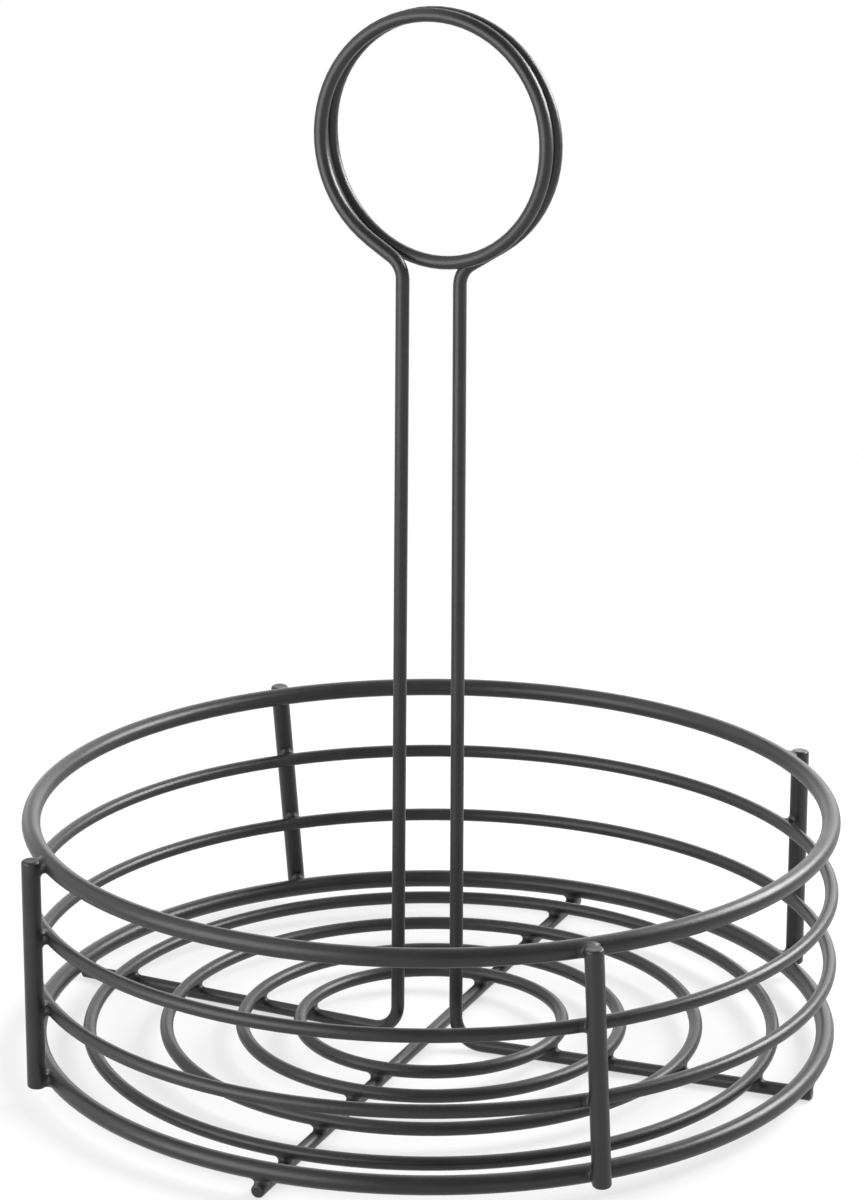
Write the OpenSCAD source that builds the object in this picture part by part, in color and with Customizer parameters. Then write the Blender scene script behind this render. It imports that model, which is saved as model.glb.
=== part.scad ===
// Round wire condiment rack with a central carrying handle.
// Origin: on the table, under the middle of the rack. +Z is up, the handle's feet lie nearly along X.

/* [Side rings] */
// Outer diameter shared by the rim, the two side rings and the base ring
ring_od = 194.4; // [180:0.1:240]
// Height from the middle of one of these rings to the middle of the next
ring_pitch = 17.8; // [12:0.1:30]
// Wire diameter of the rim
rim_wire = 4.4; // [3:0.1:6]
// Wire diameter of the two side rings
side_wire = 3.2; // [2.4:0.1:5]
// Wire diameter of the base ring
base_wire = 4.4; // [3:0.1:6]

/* [Uprights] */
// Wire diameter of the four uprights
upright_wire = 4.4; // [3:0.1:6]
// Angle from the handle's line round to the top of the right rear upright
right_rear_angle = 45.2; // [30:0.1:60]
// Angle from the handle's line round to the top of the left rear upright
left_rear_angle = 44.6; // [30:0.1:60]
// Angle from the handle's line round to the top of the left front upright
left_front_angle = 45; // [30:0.1:60]
// Angle from the handle's line round to the top of the right front upright
right_front_angle = 47.4; // [30:0.1:60]
// How far the foot of the right rear upright stands from under its top, anticlockwise from above
right_rear_lean = 0; // [-6:0.1:6]
// How far the foot of the left rear upright stands from under its top, anticlockwise from above
left_rear_lean = -4.3; // [-6:0.1:6]
// How far the foot of the left front upright stands from under its top, anticlockwise from above
left_front_lean = -0.6; // [-6:0.1:6]
// How far the foot of the right front upright stands from under its top, anticlockwise from above
right_front_lean = 2.6; // [-6:0.1:6]
// How far an upright stops short of the rim's top and of the base ring's underside
upright_short = 0.8; // [0:0.1:1.5]

/* [Floor] */
// Wire diameter of the four floor rings
floor_wire = 3.2; // [2.4:0.1:4.5]
// Diameter of the outer floor ring, at the middle of its wire
outer_floor_d = 165; // [140:0.5:176]
// Diameter of the second floor ring, at the middle of its wire
second_floor_d = 128; // [100:0.5:154]
// Diameter of the third floor ring, at the middle of its wire
third_floor_d = 91.5; // [74:0.5:118]
// Diameter of the inner floor ring, at the middle of its wire
inner_floor_d = 63.5; // [48:0.5:82]
// Wire diameter of the cross brace
brace_wire = 3.2; // [2.4:0.1:5]
// How far each end of the brace reaches past the base ring's outer edge
brace_reach = 0.5; // [0:0.1:4]
// Angle that the brace is turned from square to the handle, anticlockwise from above
brace_turn = -1.2; // [-5:0.1:5]

/* [Handle] */
// Angle that the whole handle is turned from the line of X, anticlockwise from above
handle_turn = -3.6; // [-6:0.1:6]
// Height of the whole rack, from the table to the top of the loop
rack_h = 250; // [190:1:320]
// Wire diameter of the handle
handle_wire = 3.2; // [2.4:0.1:4]
// Diameter of the loop, at the middle of its wire
loop_d = 56.5; // [46:0.5:70]
// How far the middle of the loop lies to the right of the middle between the stems
loop_shift = 1.4; // [-3:0.1:3]
// Clearance between the loop's two turns at its top, where they are nearest
top_clear = 0.1; // [0.1:0.1:3]
// Angle that each turn leans away from the other, from the top down
turn_lean = 2; // [1.6:0.1:4]
// Angle that each stem bends through to run into the loop
throat_angle = 58; // [50:1:64]
// Bend radius there, at the middle of the wire
throat_bend_r = 6; // [4:0.5:7]
// Distance between the stems at the throat
throat_gap = 11; // [10:0.1:14]
// Distance between the stems at the floor
foot_gap = 15.6; // [13:0.1:26]
// How far the stems stand in front of the middle of the rack, at the floor
stem_front = 2.6; // [-5:0.1:5]
// Angle that the left foot is turned to the rear
left_foot_turn = 0.4; // [-6:0.1:6]
// Angle that the right foot is turned to the rear
right_foot_turn = 5; // [-6:0.1:6]
// How far each foot stops short of the base ring's outer edge
foot_short = 0.9; // [-3:0.1:2]
// Bend radius from stem to foot, at the middle of the wire
foot_bend_r = 6.6; // [4.5:0.1:10]

/* [Joining] */
// Space that the weld metal fills between two crossing wires
weld_gap = 0.2; // [0.15:0.05:0.4]
// Radius of a weld bead
weld_r = 2.3; // [1.8:0.1:2.8]
// Clearance between a weld bead and the wires that it joins
weld_clear = 0.02; // [0:0.01:0.05]
// Chamfer on the cut ends of the wires
end_chamfer = 0.4; // [0.1:0.1:0.8]

/* [Hidden] */
$fn = 96;
ring_fn = 288;
coat = [0.13, 0.13, 0.14];
weld_coat = [0.16, 0.16, 0.17];
// Wire draws down a hair where it bends, and a straight stretch laps into the bend by this much
bend_thin = 0.02;
lap = 0.2;

// The brace and the feet have their tops level, and the thicker of them stands on the table.
radial_top = max(brace_wire, handle_wire);
brace_z = radial_top - brace_wire / 2;
foot_z = radial_top - handle_wire / 2;
brace_end = ring_od / 2 + brace_reach;
foot_end = ring_od / 2 - foot_short;

// Every ring of the floor sits on the brace and the feet, and the side rings rise from the base ring.
floor_z = radial_top + weld_gap + floor_wire / 2;
base_z = radial_top + weld_gap + base_wire / 2;
lower_side_z = base_z + ring_pitch;
upper_side_z = base_z + 2 * ring_pitch;
rim_z = base_z + 3 * ring_pitch;
rim_d = ring_od - rim_wire;
side_d = ring_od - side_wire;
base_d = ring_od - base_wire;
floor_ds = [outer_floor_d, second_floor_d, third_floor_d, inner_floor_d];

// The uprights stand outside the rings. They were set by eye, so each has its own angle and lean.
joint_r = ring_od / 2 + weld_gap / 2;
upright_r = ring_od / 2 + weld_gap + upright_wire / 2;
upright_foot = base_z - base_wire / 2 + upright_short;
upright_top = rim_z + rim_wire / 2 - upright_short;
upright_h = upright_top - upright_foot;
right_rear = [right_rear_angle, right_rear_lean];
left_rear = [180 - left_rear_angle, left_rear_lean];
left_front = [180 + left_front_angle, left_front_lean];
right_front = [-right_front_angle, right_front_lean];

// An upright is its azimuth at the top and its lean. Half of the lean lies on either side of its middle.
function middle_azimuth(upright) = upright[0] + half_lean_angle(upright);
function half_lean_angle(upright) = asin(upright[1] / 2 / upright_r);
function azimuth_at(upright, z) =
    middle_azimuth(upright)
    - atan2(upright[1] * ((z - upright_foot) / upright_h - 0.5), upright_r * cos(half_lean_angle(upright)));

// The handle's wire is two halves, half a turn apart about Z, and a half turn under the loop that
// joins them. A half starts at the right of the loop's front turn and ends at the left foot.
// The front and rear turns spread from the top down, which lets the half turn pass each stem.
// A half is how far the loop lies to the right of it, its heel, and the direction of its foot.
loop_r = loop_d / 2;
loop_z = rack_h - handle_wire / 2 + bend_thin - loop_r * cos(turn_lean);
front_y = -(handle_wire + top_clear) / 2 - loop_r * sin(turn_lean);
crossing_r = norm([loop_r, front_y]);
left_half = [
    loop_shift,
    [-foot_gap / 2, -stem_front, foot_z],
    [-cos(left_foot_turn), sin(left_foot_turn), 0]
];
right_half = [
    -loop_shift,
    [-foot_gap / 2, stem_front, foot_z],
    [-cos(right_foot_turn), -sin(right_foot_turn), 0]
];

// A direction or step within the front turn, with X along it and Z up it.
function in_turn(x, z) = [x, z * sin(turn_lean), z * cos(turn_lean)];
function on_turn(half, angle) =
    [half[0], front_y, loop_z] + loop_r * in_turn(cos(angle), sin(angle));

// From the loop a half goes straight to its throat, and from there straight to its heel.
run_dir = in_turn(sin(throat_angle), -cos(throat_angle));
function run_start(half) = on_turn(half, 180 + throat_angle);
function run_l(half) = (loop_r * cos(throat_angle) - half[0] - throat_gap / 2) / sin(throat_angle);
function throat(half) = run_start(half) + run_l(half) * run_dir;
function stem(half) = half[1] - throat(half);
function stem_dir(half) = stem(half) / norm(stem(half));

// How far along a foot, from its heel, it is at the given distance from the middle of the rack.
function along_foot(half, r) =
    let (start = [half[1][0], half[1][1]], dir = [half[2][0], half[2][1]])
    sqrt(pow(start * dir, 2) - start * start + r * r) - start * dir;

// A heading is three directions: the inside of a bend, its axis, and the way that the wire goes.
run_heading = [
    in_turn(cos(throat_angle), sin(throat_angle)),
    [0, -cos(turn_lean), sin(turn_lean)],
    run_dir
];
function throat_reach(half) = bend_reach(run_heading, stem_dir(half), throat_bend_r);
function stem_heading(half) = turned(run_heading, stem_dir(half));
function heel_reach(half) = bend_reach(stem_heading(half), half[2], foot_bend_r);

function bend_angle(heading, dir) = acos(heading[2] * dir);
function bend_side(heading, dir) = atan2(heading[1] * dir, heading[0] * dir);
function bend_reach(heading, dir, r) = r * tan(bend_angle(heading, dir) / 2);
function bend_inside(heading, dir) =
    let (side = bend_side(heading, dir))
    cos(side) * heading[0] + sin(side) * heading[1];
function turned(heading, dir) =
    let (
        side = bend_side(heading, dir),
        angle = bend_angle(heading, dir),
        axis = cos(side) * heading[1] - sin(side) * heading[0]
    )
    [cos(angle) * bend_inside(heading, dir) - sin(angle) * heading[2], axis, dir];

// The least gap between the half turn under the loop and the stem that it passes, measured on points
// along the middle of the wire: the end of the turn, the run, the bend at the throat and the stem.
gap_steps = 60;
parts_of_one = [for (i = [0 : gap_steps]) i / gap_steps];
function passing_points(half) = [
    for (t = parts_of_one)
        let (a = 90 + 90 * t)
        [half[0] + loop_r * cos(a), front_y * cos(a), loop_z - crossing_r * sin(a)]
];
function stem_points(half) =
    let (
        dir = stem_dir(half),
        reach = throat_reach(half),
        start = throat(half) - reach * run_dir,
        inside = bend_inside(run_heading, dir),
        angle = bend_angle(run_heading, dir)
    )
    concat(
        [for (t = parts_of_one) on_turn(half, 180 + throat_angle * t)],
        [for (t = parts_of_one) run_start(half) + t * (start - run_start(half))],
        [for (t = parts_of_one)
            let (a = angle * t)
            start + throat_bend_r * ((1 - cos(a)) * inside + sin(a) * run_dir)],
        [for (t = parts_of_one) throat(half) + (reach + t * loop_r) * dir]
    );
loop_gap = min([
    for (half = [left_half, right_half])
        let (passing = passing_points(half), own = stem_points(half))
        min([for (p = passing) for (q = own) norm(p - q)])
]) - handle_wire;
echo("least gap of the loop to itself, mm", loop_gap);

// Straight wire along Z with both ends cut.
module cut_rod(l, wire) {
    r = wire / 2;
    c = end_chamfer;
    rotate_extrude()
        polygon([[0, 0], [r - c, 0], [r, c], [r, l - c], [r - c, l], [0, l]]);
}

// Straight wire along Z. Either end laps into the bend next to it, and what follows starts from its end.
module leg(l, wire) {
    translate([0, 0, -lap])
        cylinder(h = l + 2 * lap, d = wire);
    translate([0, 0, l])
        children();
}

// Straight wire along Z that laps into the bend before it and ends in a cut.
module last_leg(l, wire) {
    r = wire / 2;
    c = end_chamfer;
    rotate_extrude()
        polygon([[0, -lap], [r, -lap], [r, l - c], [r - c, l], [0, l]]);
}

// Wire that sets off along Z and bends towards the given side. What follows starts from its end.
module bend(r, angle, wire, side = 0) {
    rotate([0, 0, side])
        translate([r, 0, 0]) {
            rotate([90, 0, 180])
                rotate_extrude(angle = angle)
                    translate([r, 0])
                        circle(d = wire - 2 * bend_thin);
            rotate([0, angle, 0])
                translate([-r, 0, 0])
                    children();
        }
}

// Bend from one heading to the direction given.
module bend_to(heading, dir, r, wire) {
    bend(r, bend_angle(heading, dir), wire, bend_side(heading, dir))
        children();
}

// The seam of a ring's own surface is turned to its inside, away from the welds.
module ring(d, z, wire) {
    translate([0, 0, z])
        rotate_extrude($fn = ring_fn)
            translate([d / 2, 0])
                rotate(180)
                    circle(d = wire);
}

module upright_rod(upright, wire = upright_wire) {
    l = norm([upright_h, upright[1]]);
    rotate([0, 0, middle_azimuth(upright)])
        translate([upright_r * cos(half_lean_angle(upright)), 0, (upright_foot + upright_top) / 2])
            rotate([atan2(upright[1], upright_h), 0, 0])
                translate([0, 0, -l / 2])
                    cut_rod(l, wire);
}

module brace_rod(wire = brace_wire) {
    rotate([0, 0, brace_turn])
        translate([0, -brace_end, brace_z])
            rotate([-90, 0, 0])
                cut_rod(2 * brace_end, wire);
}

module half_handle(half) {
    stem_l = norm(stem(half)) - throat_reach(half) - heel_reach(half);
    foot_l = along_foot(half, foot_end) - heel_reach(half);
    translate([half[0] + loop_r, front_y, loop_z])
        rotate([turn_lean, 0, 180])
            leg(0, handle_wire)
            bend(loop_r, 180 + throat_angle, handle_wire)
            leg(run_l(half) - throat_reach(half), handle_wire)
            bend_to(run_heading, stem_dir(half), throat_bend_r, handle_wire)
            leg(stem_l, handle_wire)
            bend_to(stem_heading(half), half[2], foot_bend_r, handle_wire)
            last_leg(foot_l, handle_wire);
}

// The welds of one ring to the four uprights.
module upright_beads(d, z, wire) {
    for (upright = [right_rear, left_rear, left_front, right_front])
        difference() {
            rotate([0, 0, azimuth_at(upright, z)])
                translate([joint_r, 0, z])
                    sphere(r = weld_r);
            ring(d, z, wire + 2 * weld_clear);
            upright_rod(upright, upright_wire + 2 * weld_clear);
        }
}

// One weld under a ring of the floor, on the brace or on a foot.
module floor_bead(place, d, z, wire) {
    difference() {
        translate([place[0], place[1], radial_top + weld_gap / 2])
            sphere(r = weld_r);
        ring(d, z, wire + 2 * weld_clear);
        children();
    }
}

// The welds of one ring to the brace, or to the two feet.
module brace_beads(d, z, wire) {
    for (side = [-90, 90])
        floor_bead(d / 2 * [cos(side + brace_turn), sin(side + brace_turn)], d, z, wire)
            brace_rod(brace_wire + 2 * weld_clear);
}

module foot_beads(d, z, wire) {
    rotate([0, 0, handle_turn])
        foot_bead(left_half, d, z, wire);
    rotate([0, 0, handle_turn + 180])
        foot_bead(right_half, d, z, wire);
}

module foot_bead(half, d, z, wire) {
    floor_bead(half[1] + along_foot(half, d / 2) * half[2], d, z, wire)
        translate(half[1])
            rotate([0, 0, atan2(half[2][1], half[2][0])])
                rotate([0, 90, 0])
                    cylinder(h = ring_od, d = handle_wire + 2 * weld_clear);
}

module rim_ring() { color(coat) ring(rim_d, rim_z, rim_wire); }
module upper_side_ring() { color(coat) ring(side_d, upper_side_z, side_wire); }
module lower_side_ring() { color(coat) ring(side_d, lower_side_z, side_wire); }
module base_ring() { color(coat) ring(base_d, base_z, base_wire); }

module right_rear_upright() { color(coat) upright_rod(right_rear); }
module left_rear_upright() { color(coat) upright_rod(left_rear); }
module left_front_upright() { color(coat) upright_rod(left_front); }
module right_front_upright() { color(coat) upright_rod(right_front); }

module outer_floor_ring() { color(coat) ring(outer_floor_d, floor_z, floor_wire); }
module second_floor_ring() { color(coat) ring(second_floor_d, floor_z, floor_wire); }
module third_floor_ring() { color(coat) ring(third_floor_d, floor_z, floor_wire); }
module inner_floor_ring() { color(coat) ring(inner_floor_d, floor_z, floor_wire); }

module cross_brace() { color(coat) brace_rod(); }

module handle() {
    color(coat)
        rotate([0, 0, handle_turn]) {
            half_handle(left_half);
            rotate([0, 0, 180])
                half_handle(right_half);
            translate([loop_shift, 0, loop_z])
                rotate([0, 0, atan2(front_y, loop_r)])
                    translate([crossing_r, 0, 0])
                        rotate([180, 0, 0])
                            bend(crossing_r, 180, handle_wire, 180);
        }
}

module rim_welds() { color(weld_coat) upright_beads(rim_d, rim_z, rim_wire); }
module upper_side_welds() { color(weld_coat) upright_beads(side_d, upper_side_z, side_wire); }
module lower_side_welds() { color(weld_coat) upright_beads(side_d, lower_side_z, side_wire); }
module base_ring_welds() { color(weld_coat) upright_beads(base_d, base_z, base_wire); }

module brace_welds() {
    color(weld_coat) {
        brace_beads(base_d, base_z, base_wire);
        for (d = floor_ds)
            brace_beads(d, floor_z, floor_wire);
    }
}

module handle_foot_welds() {
    color(weld_coat) {
        foot_beads(base_d, base_z, base_wire);
        for (d = floor_ds)
            foot_beads(d, floor_z, floor_wire);
    }
}

rim_ring();
upper_side_ring();
lower_side_ring();
base_ring();
right_rear_upright();
left_rear_upright();
left_front_upright();
right_front_upright();
outer_floor_ring();
second_floor_ring();
third_floor_ring();
inner_floor_ring();
cross_brace();
handle();
rim_welds();
upper_side_welds();
lower_side_welds();
base_ring_welds();
brace_welds();
handle_foot_welds();
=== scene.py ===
"""Looks of a round wire condiment rack.

Black powder coat on the wires, beads of weld metal between them, sheared wire ends and a white
studio.
"""

import math

import bmesh
import bpy
import numpy as np
from bpy.props import FloatProperty, FloatVectorProperty, PointerProperty
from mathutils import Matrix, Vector


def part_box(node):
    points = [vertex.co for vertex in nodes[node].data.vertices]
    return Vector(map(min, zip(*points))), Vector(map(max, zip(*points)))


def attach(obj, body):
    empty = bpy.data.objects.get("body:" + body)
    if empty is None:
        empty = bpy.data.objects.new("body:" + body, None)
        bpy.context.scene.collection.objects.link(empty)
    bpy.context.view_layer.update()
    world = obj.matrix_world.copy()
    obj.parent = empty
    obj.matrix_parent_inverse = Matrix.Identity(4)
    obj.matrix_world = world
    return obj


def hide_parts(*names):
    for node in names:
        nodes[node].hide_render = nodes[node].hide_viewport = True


bl_info = {
    "name": "Wire condiment rack",
    "version": (1, 0, 0),
    "blender": (4, 5, 0),
    "location": "View3D > Sidebar > Rack",
    "description": "Coats a wire condiment rack, shapes its welds and wire ends, and lights it",
    "category": "Object",
}

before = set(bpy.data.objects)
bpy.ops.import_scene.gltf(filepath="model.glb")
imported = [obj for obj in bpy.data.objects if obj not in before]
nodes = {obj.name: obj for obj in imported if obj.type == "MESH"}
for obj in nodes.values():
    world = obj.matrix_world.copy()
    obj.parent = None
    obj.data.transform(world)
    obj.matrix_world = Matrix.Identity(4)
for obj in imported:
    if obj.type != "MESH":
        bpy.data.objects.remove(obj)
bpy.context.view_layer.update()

SIDE_RINGS = ("rim_ring", "upper_side_ring", "lower_side_ring", "base_ring")
FLOOR_RINGS = ("outer_floor_ring", "second_floor_ring", "third_floor_ring", "inner_floor_ring")
UPRIGHTS = ("right_rear_upright", "left_rear_upright", "left_front_upright", "right_front_upright")
UPRIGHT_WELDS = ("rim_welds", "upper_side_welds", "lower_side_welds", "base_ring_welds")


class Value:
    """A node's output. Sums, differences and products of values add Math nodes."""

    def __init__(self, tree, socket):
        self.tree = tree
        self.socket = socket

    def combine(self, operation, first, second):
        return self.tree.node("ShaderNodeMath", {"operation": operation}, {0: first, 1: second})

    def __add__(self, other):
        return self.combine("ADD", self, other)

    def __radd__(self, other):
        return self.combine("ADD", other, self)

    def __sub__(self, other):
        return self.combine("SUBTRACT", self, other)

    def __rsub__(self, other):
        return self.combine("SUBTRACT", other, self)

    def __mul__(self, other):
        return self.combine("MULTIPLY", self, other)

    def __rmul__(self, other):
        return self.combine("MULTIPLY", other, self)

    def clamped(self, low, high):
        return self.combine("MINIMUM", self.combine("MAXIMUM", self, low), high)


class Tree:
    """The node tree of a material or of the world, emptied."""

    def __init__(self, owner):
        owner.use_nodes = True
        self.tree = owner.node_tree
        self.tree.nodes.clear()

    def node(self, kind, settings=None, sockets=None, out=0):
        """Adds a node, sets it up, fills or links its sockets, and gives one of its outputs."""
        made = self.tree.nodes.new(kind)
        for name, value in (settings or {}).items():
            if name == "stops":
                for element, (place, colour) in zip(made.color_ramp.elements, value):
                    element.position = place
                    element.color = colour
            else:
                setattr(made, name, value)
        for name, value in (sockets or {}).items():
            if isinstance(value, Value):
                self.tree.links.new(value.socket, made.inputs[name])
            else:
                made.inputs[name].default_value = value
        return Value(self, made.outputs[out]) if made.outputs else None


def grey(level):
    return (level, level, level, 1.0)


class RackCoat(bpy.types.PropertyGroup):
    """The powder coat on the wires."""

    colour: FloatVectorProperty(
        name="Coat colour",
        description="Colour of the coat where it is thickest",
        subtype="COLOR",
        size=3,
        min=0.0,
        max=1.0,
        default=(0.008, 0.008, 0.0084),
    )
    thin_colour: FloatVectorProperty(
        name="Thin coat colour",
        description="Colour of the coat where it is thinner",
        subtype="COLOR",
        size=3,
        min=0.0,
        max=1.0,
        default=(0.013, 0.013, 0.0134),
    )
    roughness: FloatProperty(
        name="Roughness",
        description="Mean roughness of the satin coat",
        subtype="FACTOR",
        min=0.0,
        max=1.0,
        default=0.38,
    )
    refraction: FloatProperty(
        name="Refraction",
        description="Refractive index of the coat, which sets how strong its gloss is",
        min=1.0,
        max=3.0,
        default=1.47,
    )
    peel_size: FloatProperty(
        name="Peel size",
        description="Distance from one swell of the coat's orange peel to the next",
        unit="LENGTH",
        min=0.0001,
        max=0.01,
        precision=5,
        default=0.0011,
    )
    peel_height: FloatProperty(
        name="Peel height",
        description="Height of the orange peel",
        unit="LENGTH",
        min=0.0,
        max=0.001,
        precision=6,
        default=0.000045,
    )


class RackWelds(bpy.types.PropertyGroup):
    """The welds and the cut ends of the wires."""

    fillet: FloatProperty(
        name="Weld fillet",
        description="Distance over which one wire's coat runs into the other's at a weld",
        unit="LENGTH",
        min=0.0005,
        max=0.005,
        precision=5,
        default=0.0022,
    )
    lump: FloatProperty(
        name="Weld lumps",
        description="Height of the lumps that weld metal leaves under the coat",
        unit="LENGTH",
        min=0.0,
        max=0.0005,
        precision=6,
        default=0.00006,
    )
    end_round: FloatProperty(
        name="End rounding",
        description="Radius that the coat gives the edge of a cut wire end",
        unit="LENGTH",
        min=0.0001,
        max=0.001,
        precision=5,
        default=0.0006,
    )
    end_slant: FloatProperty(
        name="End slant",
        description="Slant of the shear cut at a wire end",
        subtype="ANGLE",
        min=0.0,
        max=0.2,
        default=math.radians(2.5),
    )


class RackStage(bpy.types.PropertyGroup):
    """The floor, the light and the camera."""

    floor_colour: FloatVectorProperty(
        name="Floor colour",
        description="Colour of the plain floor in the lamps' light",
        subtype="COLOR",
        size=3,
        min=0.0,
        max=1.0,
        default=(0.7, 0.7, 0.7),
    )
    shadow_depth: FloatProperty(
        name="Shadow depth",
        description="How much of the lamps' light, and so of the shadow, the floor shows",
        subtype="FACTOR",
        min=0.0,
        max=1.0,
        default=0.36,
    )
    shadow_reach: FloatProperty(
        name="Shadow reach",
        description="Distance from the rack's middle from which the floor is plain white",
        unit="LENGTH",
        min=0.1,
        max=10.0,
        default=0.6,
    )
    room_light: FloatProperty(
        name="Room light",
        description="Brightness of the even light of the room",
        min=0.0,
        max=2.0,
        default=0.42,
    )
    key_power: FloatProperty(
        name="Key power",
        description="Power of the softbox that stands close at the right",
        unit="POWER",
        min=0.0,
        max=200.0,
        default=5.7,
    )
    rear_strength: FloatProperty(
        name="Rear strength",
        description="Strength of the broad light above and behind the rack",
        min=0.0,
        max=10.0,
        default=0.8,
    )
    left_strength: FloatProperty(
        name="Left strength",
        description="Strength of the broad light high at the left",
        min=0.0,
        max=10.0,
        default=1.1,
    )
    back_power: FloatProperty(
        name="Back power",
        description="Power of the wide, low softbox behind the rack",
        unit="POWER",
        min=0.0,
        max=200.0,
        default=9.0,
    )
    side_power: FloatProperty(
        name="Side power",
        description="Power of the softbox that stands at the left, towards the camera",
        unit="POWER",
        min=0.0,
        max=200.0,
        default=3.7,
    )
    camera_turn: FloatProperty(
        name="Camera turn",
        description="Angle of the camera round the rack",
        subtype="ANGLE",
        default=math.radians(22.0),
    )
    camera_rise: FloatProperty(
        name="Camera rise",
        description="Angle of the camera above the horizon",
        subtype="ANGLE",
        default=math.radians(16.58),
    )
    camera_distance: FloatProperty(
        name="Camera distance",
        description="Distance from the camera to the point it looks at",
        unit="LENGTH",
        default=0.9123,
    )
    camera_lens: FloatProperty(
        name="Lens",
        description="Focal length, in millimetres, on a frame 36 mm high",
        default=116.64,
    )
    aim_height: FloatProperty(
        name="Aim height",
        description="Height above the table of the point the camera looks at",
        unit="LENGTH",
        default=0.11105,
    )
    aim_side: FloatProperty(
        name="Aim side",
        description="How far that point lies to the camera's right of the rack's middle",
        unit="LENGTH",
        default=-0.00053,
    )


def powder_coat(name, roughness_shift=0.0, peel=1.0):
    """Satin black powder coat: orange peel with a finer grain on it, and cloudy thickness."""
    clouds_per_metre, grains_per_swell = 95.0, 5.0
    cloud_share, swell_share = 0.75, 0.25
    thick, thin = 0.36, 0.64
    cloud_roughness, grain_roughness = 0.14, 0.06
    smoothest, roughest = 0.08, 0.9
    swell_height, grain_height = 0.8, 0.2
    coat = bpy.context.scene.rack_coat
    material = bpy.data.materials.new(name)
    tree = Tree(material)
    place = tree.node("ShaderNodeTexCoord", out="Object")

    def noise(scale, detail, roughness):
        sockets = {"Vector": place, "Scale": scale, "Detail": detail, "Roughness": roughness}
        return tree.node("ShaderNodeTexNoise", sockets=sockets)

    swells_per_metre = 1.0 / coat.peel_size
    swells = noise(swells_per_metre, detail=2.0, roughness=0.5)
    grain = noise(grains_per_swell * swells_per_metre, detail=2.0, roughness=0.6)
    cloud = noise(clouds_per_metre, detail=3.0, roughness=0.55)
    thinness = (cloud_share * cloud + swell_share * swells).clamped(0.0, 1.0)
    spread = tree.node(
        "ShaderNodeValToRGB",
        {"stops": [(thick, grey(0.0)), (thin, grey(1.0))]},
        {"Fac": thinness},
    )
    colour = tree.node(
        "ShaderNodeMix",
        {"data_type": "RGBA"},
        {"Factor": spread, "A": (*coat.colour, 1.0), "B": (*coat.thin_colour, 1.0)},
        out="Result",
    )
    # Noise is a half on average, so half of what it adds comes off first.
    least = coat.roughness + roughness_shift - (cloud_roughness + grain_roughness) / 2
    varied = least + cloud_roughness * cloud + grain_roughness * grain
    height = swell_height * swells + grain_height * grain
    normal = tree.node(
        "ShaderNodeBump",
        sockets={"Strength": 1.0, "Distance": coat.peel_height * peel, "Height": height},
    )
    surface = tree.node(
        "ShaderNodeBsdfPrincipled",
        sockets={
            "Base Color": colour,
            "Roughness": varied.clamped(smoothest, roughest),
            "Normal": normal,
            "IOR": coat.refraction,
        },
    )
    tree.node("ShaderNodeOutputMaterial", sockets={"Surface": surface})
    return material


def coat_node(name, material):
    """Gives a node that keeps its own shape its coat."""
    for slot in nodes[name].material_slots:
        slot.material = material


def add_piece(name, bm, material, slot, *replaced):
    """Turns a mesh into a piece of the rack that stands for the nodes it replaces."""
    mesh_data = bpy.data.meshes.new(name)
    bm.to_mesh(mesh_data)
    bm.free()
    piece = bpy.data.objects.new(name, mesh_data)
    bpy.context.scene.collection.objects.link(piece)
    mesh_data.materials.append(material)
    mesh_data.shade_smooth()
    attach(piece, "root")
    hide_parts(*replaced)


class Ring:
    """A wire ring, measured on its node."""

    def __init__(self, node):
        low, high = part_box(node)
        self.r = (high.z - low.z) / 2
        self.ring_r = high.x - self.r
        self.z = (high.z + low.z) / 2

    def distance(self, p, thin):
        """How far points are from the wire's surface, with the wire thinned a little."""
        out = np.hypot(p[..., 0], p[..., 1]) - self.ring_r
        return np.hypot(out, p[..., 2] - self.z) - (self.r - thin)


class Rod:
    """A straight wire, by the middles of its ends and its radius."""

    def __init__(self, start, end, r):
        unlike_any_wire = (0.6, 0.0, 0.8)
        self.mid = (start + end) / 2
        self.half = np.linalg.norm(end - start) / 2
        self.way = (end - start) / (2 * self.half)
        self.side = np.cross(self.way, unlike_any_wire)
        self.side /= np.linalg.norm(self.side)
        self.other = np.cross(self.way, self.side)
        self.r = r

    def distance(self, p, thin, end_round):
        """How far points are from the wire's surface, with the wire thinned a little."""
        step = p - self.mid
        along = step @ self.way
        out = np.linalg.norm(step - along[..., None] * self.way, axis=-1)
        u = out - (self.r - thin) + end_round
        v = np.abs(along) - (self.half - thin) + end_round
        outside = np.hypot(np.maximum(u, 0), np.maximum(v, 0))
        return outside + np.minimum(np.maximum(u, v), 0) - end_round

    def at_height(self, z):
        return self.mid + self.way * ((z - self.mid[2]) / self.way[2])

    def at_radius(self, r, outwards):
        """Where the wire is this far from the rack's middle, on the side that outwards names."""
        way = self.way[:2] * np.sign(self.way[:2] @ outwards)
        way /= np.linalg.norm(way)
        near = self.mid[:2] - way * (self.mid[:2] @ way)
        x, y = near + way * math.sqrt(r * r - near @ near)
        return np.array((x, y, self.mid[2]))


def points_of(node):
    return np.array([v.co for v in nodes[node].data.vertices])


def rod_of(node):
    """A straight node's wire, measured on its points."""
    points = points_of(node)
    mid = (points.max(0) + points.min(0)) / 2
    way = np.linalg.svd(points - mid, full_matrices=False)[2][0]
    along = (points - mid) @ way
    r = np.linalg.norm(points - mid - along[:, None] * way, axis=1).max()
    return Rod(mid + way * along.min(), mid + way * along.max(), r)


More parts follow.
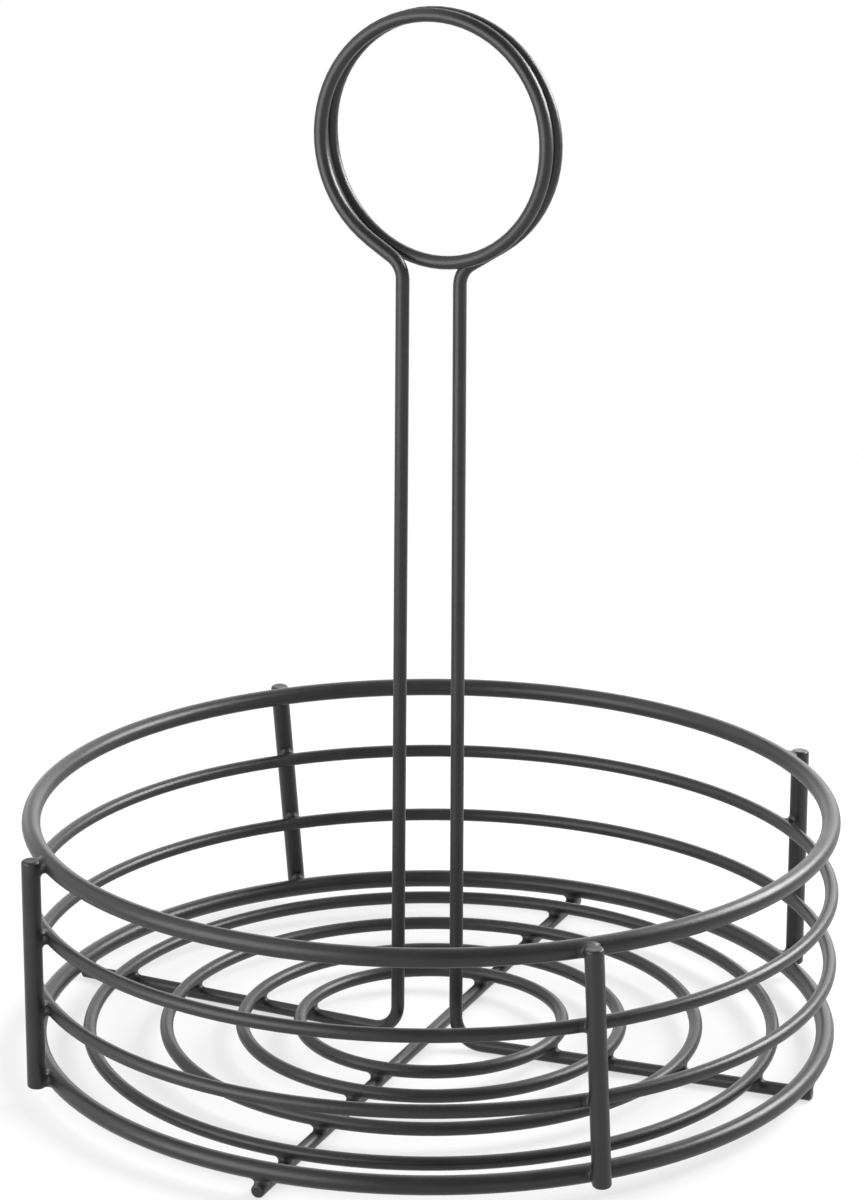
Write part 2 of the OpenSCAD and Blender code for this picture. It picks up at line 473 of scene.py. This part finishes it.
def foot_rods():
    """The handle's two feet, from the circle where each leaves its bend to its cut end."""
    end_slice, circle_slice, bend_room, slack = 0.003, 0.0004, 0.03, 0.0001
    points = points_of("handle")
    rods = []
    for side in (-1, 1):
        half = points[points[:, 0] * side > 0.0]
        out = np.abs(half[:, 0])
        end = half[out > out.max() - end_slice]
        r = (end[:, 2].max() - end[:, 2].min()) / 2
        heel = half[(half[:, 2] < 2 * r + slack) & (out < bend_room)]
        out = np.abs(heel[:, 0])
        circle = heel[out > out.max() - circle_slice]
        start, end_mid = ((group.max(0) + group.min(0)) / 2 for group in (circle, end))
        way = (end_mid - start) / np.linalg.norm(end_mid - start)
        rods.append(Rod(start, start + way * ((half - start) @ way).max(), r))
    return rods


def net_of(field, low, step):
    """Points and four-sided faces of the surface where the field is zero, one point to a cell."""
    inside = field < 0
    n = np.array(field.shape) - 1
    corners = [(i, j, k) for i in (0, 1) for j in (0, 1) for k in (0, 1)]
    total = np.zeros((*n, 3))
    count = np.zeros(n)
    for a in corners:
        for axis in range(3):
            if a[axis]:
                continue
            b = list(a)
            b[axis] = 1
            at_a = tuple(slice(a[i], a[i] + n[i]) for i in range(3))
            at_b = tuple(slice(b[i], b[i] + n[i]) for i in range(3))
            cross = inside[at_a] != inside[at_b]
            span = field[at_a] - field[at_b]
            share = np.where(cross, field[at_a] / np.where(cross, span, 1.0), 0.0)
            for i in range(3):
                total[..., i] += np.where(cross, a[i] + (share if i == axis else 0.0), 0.0)
            count += cross
    cells = np.argwhere(count > 0)
    number = np.full(n, -1)
    number[tuple(cells.T)] = np.arange(len(cells))
    points = low + step * (cells + total[tuple(cells.T)] / count[tuple(cells.T)][:, None])
    faces = []
    for axis in range(3):
        u, v = (axis + 1) % 3, (axis + 2) % 3
        at_a = [slice(1, n[i]) for i in range(3)]
        at_a[axis] = slice(0, n[axis])
        at_b = list(at_a)
        at_b[axis] = slice(1, n[axis] + 1)
        first = inside[tuple(at_a)]
        second = inside[tuple(at_b)]
        for edge in np.argwhere(first != second):
            place = edge + 1
            place[axis] = edge[axis]
            round_edge = []
            for du, dv in ((0, 0), (-1, 0), (-1, -1), (0, -1)):
                cell = place.copy()
                cell[u] += du
                cell[v] += dv
                round_edge.append(number[tuple(cell)])
            faces.append(round_edge if first[tuple(edge)] else round_edge[::-1])
    return points, faces


def join_corners(field):
    """Fills a corner wherever two inside points of a grid square touch only across it."""
    barely_inside, rounds = -1e-6, 4
    for axis, other in ((0, 1), (0, 2), (1, 2)) * rounds:
        inside = field < 0
        beside, above = np.roll(inside, -1, axis), np.roll(inside, -1, other)
        across = np.roll(beside, -1, other)
        field[beside & above & ~inside & ~across] = barely_inside
        field[np.roll(inside & across & ~beside & ~above, 1, axis)] = barely_inside


def add_bead(bm, where, ring, rod):
    """The bead of weld metal and coat that runs from one wire into the other at a crossing.

    Its rim lies just under the surface of the wires, and its root reaches into both of them. Its
    lumps are sine waves that start elsewhere at each crossing.
    """
    reach, step = 0.0038, 0.00025
    rim_sunk, root_depth, rim_share = 0.00003, 0.0007, 0.9
    waves, shift, aside, stretch = 2300.0, 9100.0, 1.3, 1.7
    welds = bpy.context.scene.rack_welds
    line = np.arange(-reach, reach, step)
    p = np.stack(np.meshgrid(line, line, line, indexing="ij"), -1) + where
    to_ring = ring.distance(p, rim_sunk)
    to_rod = rod.distance(p, rim_sunk, welds.end_round)
    to_wire = np.minimum(to_ring, to_rod)
    share = np.clip(welds.fillet - np.abs(to_ring - to_rod), 0, None) / welds.fillet
    x, y, z = np.moveaxis(waves * p + where * shift, -1, 0)
    lumps = np.sin(x) * np.sin(y + aside) + np.sin(stretch * z + x)
    field = to_wire - share**2 * welds.fillet / 4 - 0.5 * welds.lump * lumps * share
    field = np.maximum(field, -root_depth - to_wire)
    field = np.maximum(field, np.maximum(to_ring, to_rod) - rim_share * welds.fillet)
    field = np.maximum(field, np.linalg.norm(p - where, axis=-1) - reach + 2 * step)
    for axis in range(3):
        field = (np.roll(field, 1, axis) + 2 * field + np.roll(field, -1, axis)) / 4
    join_corners(field)
    points, faces = net_of(field, where - reach, step)
    made = [bm.verts.new(point) for point in points]
    for face in faces:
        bm.faces.new([made[i] for i in face])


def weld_beads(name, crossings, material):
    """One piece with all the beads of a weld node, which it replaces."""
    bm = bmesh.new()
    for where, ring, rod in crossings:
        add_bead(bm, where, ring, rod)
    add_piece(name + "_fillets", bm, material, "weld_coat", name)


def wire_profile(rod, corner):
    """Radius and place along the wire, from one end to the other, with rounded edges at both."""
    hollow, corner_steps = 0.00004, 6
    flat = rod.r - corner
    profile = [(flat * t, rod.half - hollow + hollow * t) for t in (0.0, 0.35, 0.7)]
    for i in range(corner_steps + 1):
        bend = math.radians(90.0 * i / corner_steps)
        out, along = corner * math.sin(bend), corner * math.cos(bend)
        profile.append((flat + out, rod.half - corner + along))
    profile += [(rod.r, rod.half * t) for t in (0.9, 0.6, 0.3)]
    return [*profile, (rod.r, 0.0), *((r, -z) for r, z in reversed(profile))]


def cut_wire(name, material, turn):
    """A straight wire with sheared ends whose edges the coat has rounded. It replaces its node."""
    around, slanted_share = 48, 0.06
    welds = bpy.context.scene.rack_welds
    slant = math.tan(welds.end_slant)
    rod = rod_of(name)
    bm = bmesh.new()
    rings = []
    for r, along in wire_profile(rod, welds.end_round):
        end = max(0.0, abs(along) / rod.half - (1.0 - slanted_share)) / slanted_share
        ring = []
        for i in range(around if r > 0 else 1):
            angle = 2 * math.pi * i / around
            slip = slant * r * math.cos(angle + turn) * end - slant * rod.r * end
            out = rod.side * math.cos(angle) + rod.other * math.sin(angle)
            place = rod.mid + r * out + rod.way * (along + math.copysign(slip, along))
            ring.append(bm.verts.new(place))
        rings.append(ring)
    for upper, lower in zip(rings, rings[1:]):
        for i in range(around):
            j = (i + 1) % around
            above = [upper[i % len(upper)], upper[j % len(upper)]]
            below = [lower[j % len(lower)], lower[i % len(lower)]]
            bm.faces.new(list(dict.fromkeys(above + below)))
    bmesh.ops.recalc_face_normals(bm, faces=bm.faces)
    add_piece(name + "_wire", bm, material, "wire_coat", name)


class RACK_OT_side_rings(bpy.types.Operator):
    """Coats the rim, the two side rings and the base ring"""

    bl_idname = "rack.side_rings"
    bl_label = "Side rings"

    def execute(self, context):
        material = powder_coat("side_ring_coat")
        for name in SIDE_RINGS:
            coat_node(name, material)
        return {"FINISHED"}


class RACK_OT_floor_rings(bpy.types.Operator):
    """Coats the four rings of the floor"""

    bl_idname = "rack.floor_rings"
    bl_label = "Floor rings"

    def execute(self, context):
        material = powder_coat("floor_ring_coat", roughness_shift=0.02)
        for name in FLOOR_RINGS:
            coat_node(name, material)
        return {"FINISHED"}


class RACK_OT_handle(bpy.types.Operator):
    """Coats the handle, a little smoother than the basket"""

    bl_idname = "rack.handle"
    bl_label = "Handle"

    def execute(self, context):
        coat_node("handle", powder_coat("handle_coat", roughness_shift=-0.03))
        return {"FINISHED"}


class RACK_OT_uprights(bpy.types.Operator):
    """Makes the four uprights with sheared, coated ends"""

    bl_idname = "rack.uprights"
    bl_label = "Uprights"

    def execute(self, context):
        turn_to_next = 1.7
        material = powder_coat("upright_coat")
        for i, name in enumerate(UPRIGHTS):
            cut_wire(name, material, turn=turn_to_next * i)
        return {"FINISHED"}


class RACK_OT_brace(bpy.types.Operator):
    """Makes the cross brace with sheared, coated ends"""

    bl_idname = "rack.brace"
    bl_label = "Cross brace"

    def execute(self, context):
        cut_wire("cross_brace", powder_coat("brace_coat"), turn=0.6)
        return {"FINISHED"}


class RACK_OT_welds(bpy.types.Operator):
    """Makes the beads of every weld"""

    bl_idname = "rack.welds"
    bl_label = "Welds"

    def execute(self, context):
        material = powder_coat("weld_coat", roughness_shift=0.06, peel=1.6)
        uprights = [rod_of(name) for name in UPRIGHTS]
        for weld, ring_name in zip(UPRIGHT_WELDS, SIDE_RINGS):
            ring = Ring(ring_name)
            crossings = [(self.beside(ring, rod), ring, rod) for rod in uprights]
            weld_beads(weld, crossings, material)
        brace = rod_of("cross_brace")
        left, right = foot_rods()
        under = {
            "brace_welds": ((brace, (0, -1)), (brace, (0, 1))),
            "handle_foot_welds": ((left, (-1, 0)), (right, (1, 0))),
        }
        for weld, rods in under.items():
            crossings = []
            for ring in (Ring(name) for name in ("base_ring", *FLOOR_RINGS)):
                crossings += [(self.below(ring, rod, way), ring, rod) for rod, way in rods]
            weld_beads(weld, crossings, material)
        return {"FINISHED"}

    def beside(self, ring, upright):
        """The middle of the gap between a ring and the upright that stands outside it."""
        x, y, z = upright.at_height(ring.z)
        away = math.hypot(x, y)
        joint = (ring.ring_r + ring.r + away - upright.r) / 2 / away
        return np.array((x * joint, y * joint, z))

    def below(self, ring, rod, outwards):
        """The middle of the gap between a ring and the wire that lies under it."""
        where = rod.at_radius(ring.ring_r, outwards)
        where[2] = (rod.mid[2] + rod.r + ring.z - ring.r) / 2
        return where


class RACK_OT_stage(bpy.types.Operator):
    """Sets up the floor, the light and the camera"""

    bl_idname = "rack.stage"
    bl_label = "Stage"

    def execute(self, context):
        stage = context.scene.rack_stage
        self.lay_floor(context, stage)
        self.light_world(context, stage)
        self.place_lamps(context, stage)
        self.place_camera(context, stage)
        context.scene.view_settings.view_transform = "Standard"
        return {"FINISHED"}

    def lay_floor(self, context, stage):
        """A round floor that curves up into a low backdrop on all sides."""
        around, floor_r, cove_r, bend_step, under_wires = 96, 11.4, 2.6, 15, 0.00005
        turns = [2 * math.pi * i / around for i in range(around)]
        bm = bmesh.new()
        rings = []
        for bend in range(0, 91, bend_step):
            out = floor_r + cove_r * math.sin(math.radians(bend))
            up = cove_r * (1.0 - math.cos(math.radians(bend)))
            rings.append([bm.verts.new((out * math.cos(t), out * math.sin(t), up)) for t in turns])
        bm.faces.new(rings[0])
        for lower, upper in zip(rings, rings[1:]):
            for i in range(around):
                j = (i + 1) % around
                bm.faces.new((lower[j], lower[i], upper[i], upper[j]))
        mesh_data = bpy.data.meshes.new("floor")
        bm.to_mesh(mesh_data)
        bm.free()
        floor = bpy.data.objects.new("floor", mesh_data)
        floor.location.z = -under_wires
        context.scene.collection.objects.link(floor)
        mesh_data.materials.append(self.floor_paper(stage))

    def floor_paper(self, stage):
        """Paper in the lamps' light, seen as plain white but for a part of the rack's shadow."""
        material = bpy.data.materials.new("floor_paper")
        tree = Tree(material)
        place = tree.node("ShaderNodeTexCoord", out="Object")
        away = tree.node("ShaderNodeVectorMath", {"operation": "LENGTH"}, {0: place}, out="Value")
        far = (away * away * stage.shadow_reach**-2).clamped(0.0, 1.0)
        white = (1.0 - stage.shadow_depth * (1.0 - far)) * self.seen_by_eye(tree)
        paper = tree.node("ShaderNodeBsdfDiffuse", sockets={"Color": (*stage.floor_colour, 1.0)})
        glow = tree.node("ShaderNodeEmission", sockets={"Color": grey(1.0), "Strength": 1.0})
        surface = tree.node("ShaderNodeMixShader", sockets={"Fac": white, 1: paper, 2: glow})
        tree.node("ShaderNodeOutputMaterial", sockets={"Surface": surface})
        return material

    def seen_by_eye(self, tree):
        """One for the camera and for what gloss and glass show, and nought for other rays."""
        path = "ShaderNodeLightPath"
        camera = tree.node(path, out="Is Camera Ray")
        gloss = tree.node(path, out="Is Glossy Ray")
        glass = tree.node(path, out="Is Transmission Ray")
        return (camera + gloss + glass).clamped(0.0, 1.0)

    def light_world(self, context, stage):
        world = bpy.data.worlds.new("studio")
        context.scene.world = world
        tree = Tree(world)
        light = {"Color": grey(1.0), "Strength": stage.room_light}
        even = tree.node("ShaderNodeBackground", sockets=light)
        tree.node("ShaderNodeOutputWorld", sockets={"Surface": even})

    def place_lamps(self, context, stage):
        """Hangs the lamps. A turn is in degrees, from behind the rack to the camera's right."""
        key = self.softbox("key", stage.key_power, width=0.36, height=0.28)
        rear = self.sun("rear", stage.rear_strength, spread=50.0)
        left = self.sun("left", stage.left_strength, spread=70.0)
        back = self.softbox("back", stage.back_power, width=2.8, height=0.7)
        side = self.softbox("side", stage.side_power, width=0.6, height=0.5)
        self.hang(context, key, turn=68.0, rise=34.0, distance=0.6, lift=0.06)
        self.hang(context, rear, turn=24.0, rise=34.0, distance=2.0)
        self.hang(context, left, turn=280.0, rise=42.0, distance=2.0)
        self.hang(context, back, turn=0.0, rise=9.0, distance=2.0, lift=0.12)
        self.hang(context, side, turn=232.0, rise=0.0, distance=0.6, lift=0.26)

    def sun(self, name, strength, spread):
        """A light so far away that it is even. Its spread is the width of its disc in degrees."""
        lamp = bpy.data.lights.new(name, "SUN")
        lamp.energy = strength
        lamp.angle = math.radians(spread)
        return lamp

    def softbox(self, name, power, width, height):
        lamp = bpy.data.lights.new(name, "AREA")
        lamp.energy = power
        lamp.shape = "RECTANGLE"
        lamp.size, lamp.size_y = width, height
        return lamp

    def hang(self, context, lamp, turn, rise, distance, lift=0.0):
        """Puts a lamp at this distance from a point above the rack's foot, and faces it there."""
        bearing = context.scene.rack_stage.camera_turn - math.radians(turn)
        rise = math.radians(rise)
        level = math.cos(rise)
        way = Vector((-math.sin(bearing) * level, math.cos(bearing) * level, math.sin(rise)))
        holder = bpy.data.objects.new(lamp.name, lamp)
        context.scene.collection.objects.link(holder)
        holder.location = way * distance + Vector((0.0, 0.0, lift))
        holder.rotation_euler = way.to_track_quat("Z", "Y").to_euler()

    def place_camera(self, context, stage):
        frame_height, nearest, farthest = 36.0, 0.01, 60.0
        turn, rise = stage.camera_turn, stage.camera_rise
        level = math.cos(rise)
        right = Vector((math.cos(turn), math.sin(turn), 0.0))
        back = Vector((math.sin(turn) * level, -math.cos(turn) * level, math.sin(rise)))
        camera = bpy.data.cameras.new("camera")
        camera.lens = stage.camera_lens
        camera.sensor_width = frame_height
        camera.clip_start, camera.clip_end = nearest, farthest
        holder = bpy.data.objects.new("camera", camera)
        context.scene.collection.objects.link(holder)
        aim = right * stage.aim_side + Vector((0.0, 0.0, stage.aim_height))
        holder.location = aim + back * stage.camera_distance
        holder.rotation_euler = back.to_track_quat("Z", "Y").to_euler()
        context.scene.camera = holder


class RACK_PT_panel(bpy.types.Panel):
    """Lists the rack's pieces and settings"""

    bl_idname = "RACK_PT_panel"
    bl_label = "Condiment rack"
    bl_space_type = "VIEW_3D"
    bl_region_type = "UI"
    bl_category = "Rack"

    def draw(self, context):
        for operator in OPERATORS:
            self.layout.operator(operator.bl_idname)
        for name in GROUPS:
            box = self.layout.box()
            group = getattr(context.scene, name)
            for prop in group.bl_rna.properties:
                if prop.identifier not in ("name", "rna_type"):
                    box.prop(group, prop.identifier)


GROUPS = {"rack_coat": RackCoat, "rack_welds": RackWelds, "rack_stage": RackStage}
OPERATORS = (
    RACK_OT_side_rings,
    RACK_OT_floor_rings,
    RACK_OT_handle,
    RACK_OT_uprights,
    RACK_OT_brace,
    RACK_OT_welds,
    RACK_OT_stage,
)


def register():
    for cls in (*GROUPS.values(), *OPERATORS, RACK_PT_panel):
        bpy.utils.register_class(cls)
    for name, group in GROUPS.items():
        setattr(bpy.types.Scene, name, PointerProperty(type=group))


def unregister():
    for name in GROUPS:
        delattr(bpy.types.Scene, name)
    for cls in reversed((*GROUPS.values(), *OPERATORS, RACK_PT_panel)):
        bpy.utils.unregister_class(cls)


def main():
    register()
    bpy.ops.rack.side_rings()
    bpy.ops.rack.floor_rings()
    bpy.ops.rack.handle()
    bpy.ops.rack.uprights()
    bpy.ops.rack.brace()
    bpy.ops.rack.welds()
    bpy.ops.rack.stage()


if __name__ == "__main__":
    main()
